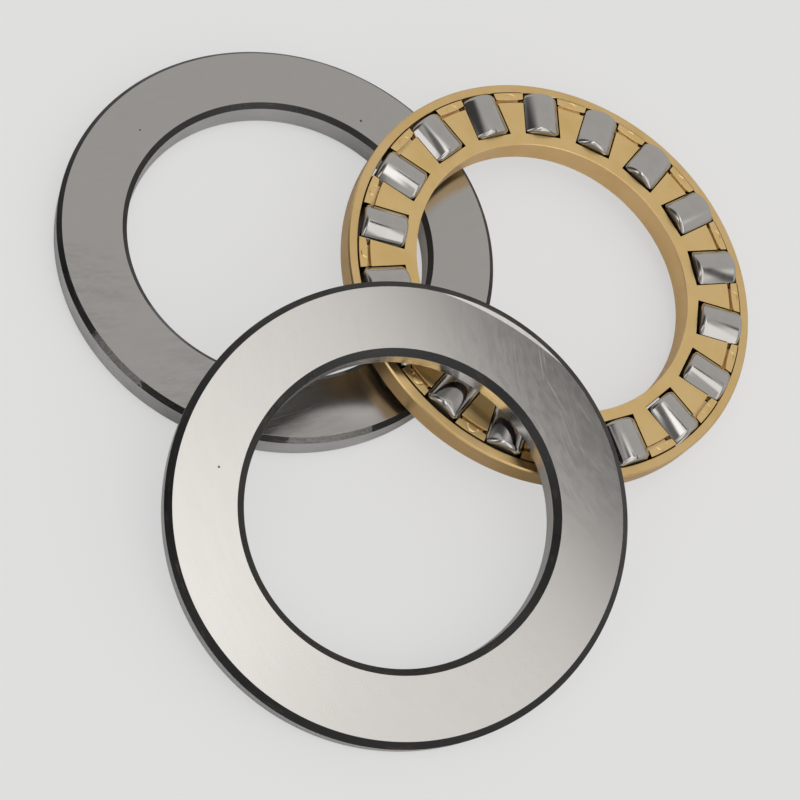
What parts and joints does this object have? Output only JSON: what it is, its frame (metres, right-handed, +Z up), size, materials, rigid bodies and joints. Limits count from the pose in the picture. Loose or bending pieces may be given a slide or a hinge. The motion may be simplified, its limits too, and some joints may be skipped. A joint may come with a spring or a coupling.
{
  "type": "cylindrical roller thrust bearing",
  "caption": "Single-direction cylindrical roller thrust bearing laid out in its loose parts: housing washer, brass cage with its rollers, and shaft washer leaning over them.",
  "frame": {"origin": "centre of the housing washer, on its axis at half thickness", "axes": "+Z up, square to the housing washer lying flat with its raceway up; the cage leans on its rim toward +X and the shaft washer lies toward -Y"},
  "size_m": [0.2186, 0.2244, 0.0395],
  "materials": {
    "washer_steel": "ground faces, black unground chamfers",
    "cage_brass": "satin machined brass",
    "roller_steel": "superfinished bearing steel"
  },
  "bodies": {
    "root": {"housing_washer": "washer_steel", "shaft_washer": "washer_steel", "cage_body": "cage_brass", "cage_ring": "cage_brass"},
    "roller_01": {"roller_01": "roller_steel"},
    "roller_02": {"roller_02": "roller_steel"},
    "roller_03": {"roller_03": "roller_steel"},
    "roller_04": {"roller_04": "roller_steel"},
    "roller_05": {"roller_05": "roller_steel"},
    "roller_06": {"roller_06": "roller_steel"},
    "roller_07": {"roller_07": "roller_steel"},
    "roller_08": {"roller_08": "roller_steel"},
    "roller_09": {"roller_09": "roller_steel"},
    "roller_10": {"roller_10": "roller_steel"},
    "roller_11": {"roller_11": "roller_steel"},
    "roller_12": {"roller_12": "roller_steel"},
    "roller_13": {"roller_13": "roller_steel"},
    "roller_14": {"roller_14": "roller_steel"},
    "roller_15": {"roller_15": "roller_steel"},
    "roller_16": {"roller_16": "roller_steel"},
    "roller_17": {"roller_17": "roller_steel"},
    "roller_18": {"roller_18": "roller_steel"}
  },
  "joints": [
    {"name": "roller_01_spin", "type": "hinge", "parent": "root", "child": "roller_01", "pos_m": [0.1403, 0.00678, 0.00254], "axis": [0.9938, 0.0191, -0.1093], "continuous": true},
    {"name": "roller_02_spin", "type": "hinge", "parent": "root", "child": "roller_02", "pos_m": [0.13657, 0.02608, 0.00321], "axis": [0.9279, 0.3598, -0.0974], "continuous": true},
    {"name": "roller_03_spin", "type": "hinge", "parent": "root", "child": "roller_03", "pos_m": [0.12649, 0.04293, 0.00455], "axis": [0.7501, 0.6572, -0.0738], "continuous": true},
    {"name": "roller_04_spin", "type": "hinge", "parent": "root", "child": "roller_04", "pos_m": [0.11126, 0.05522, 0.0064], "axis": [0.4818, 0.8753, -0.0413], "continuous": true},
    {"name": "roller_05_spin", "type": "hinge", "parent": "root", "child": "roller_05", "pos_m": [0.09276, 0.06139, 0.00852], "axis": [0.1554, 0.9878, -0.0038], "continuous": true},
    {"name": "roller_06_spin", "type": "hinge", "parent": "root", "child": "roller_06", "pos_m": [0.07334, 0.06081, 0.01065], "axis": [-0.1898, 0.9812, 0.0342], "continuous": true},
    {"name": "roller_07_spin", "type": "hinge", "parent": "root", "child": "roller_07", "pos_m": [0.0553, 0.05369, 0.01254], "axis": [-0.512, 0.8563, 0.068], "continuous": true},
    {"name": "roller_08_spin", "type": "hinge", "parent": "root", "child": "roller_08", "pos_m": [0.0407, 0.0409, 0.01398], "axis": [-0.7725, 0.628, 0.0936], "continuous": true},
    {"name": "roller_09_spin", "type": "hinge", "parent": "root", "child": "roller_09", "pos_m": [0.03132, 0.02386, 0.01478], "axis": [-0.9399, 0.324, 0.108], "continuous": true},
    {"name": "roller_10_spin", "type": "hinge", "parent": "root", "child": "roller_10", "pos_m": [0.0283, 0.00463, 0.01486], "axis": [-0.9938, -0.0191, 0.1093], "continuous": true},
    {"name": "roller_11_spin", "type": "hinge", "parent": "root", "child": "roller_11", "pos_m": [0.03199, -0.01447, 0.01419], "axis": [-0.9279, -0.3598, 0.0974], "continuous": true},
    {"name": "roller_12_spin", "type": "hinge", "parent": "root", "child": "roller_12", "pos_m": [0.04196, -0.03114, 0.01287], "axis": [-0.7501, -0.6572, 0.0738], "continuous": true},
    {"name": "roller_13_spin", "type": "hinge", "parent": "root", "child": "roller_13", "pos_m": [0.05696, -0.04343, 0.01105], "axis": [-0.4818, -0.8753, 0.0413], "continuous": true},
    {"name": "roller_14_spin", "type": "hinge", "parent": "root", "child": "roller_14", "pos_m": [0.07525, -0.04995, 0.00894], "axis": [-0.1554, -0.9878, 0.0038], "continuous": true},
    {"name": "roller_15_spin", "type": "hinge", "parent": "root", "child": "roller_15", "pos_m": [0.09473, -0.04977, 0.0068], "axis": [0.1898, -0.9812, -0.0342], "continuous": true},
    {"name": "roller_16_spin", "type": "hinge", "parent": "root", "child": "roller_16", "pos_m": [0.11301, -0.04281, 0.00488], "axis": [0.512, -0.8563, -0.068], "continuous": true},
    {"name": "roller_17_spin", "type": "hinge", "parent": "root", "child": "roller_17", "pos_m": [0.12776, -0.02988, 0.00343], "axis": [0.7725, -0.628, -0.0936], "continuous": true},
    {"name": "roller_18_spin", "type": "hinge", "parent": "root", "child": "roller_18", "pos_m": [0.13724, -0.01266, 0.00262], "axis": [0.9399, -0.324, -0.108], "continuous": true}
  ]
}
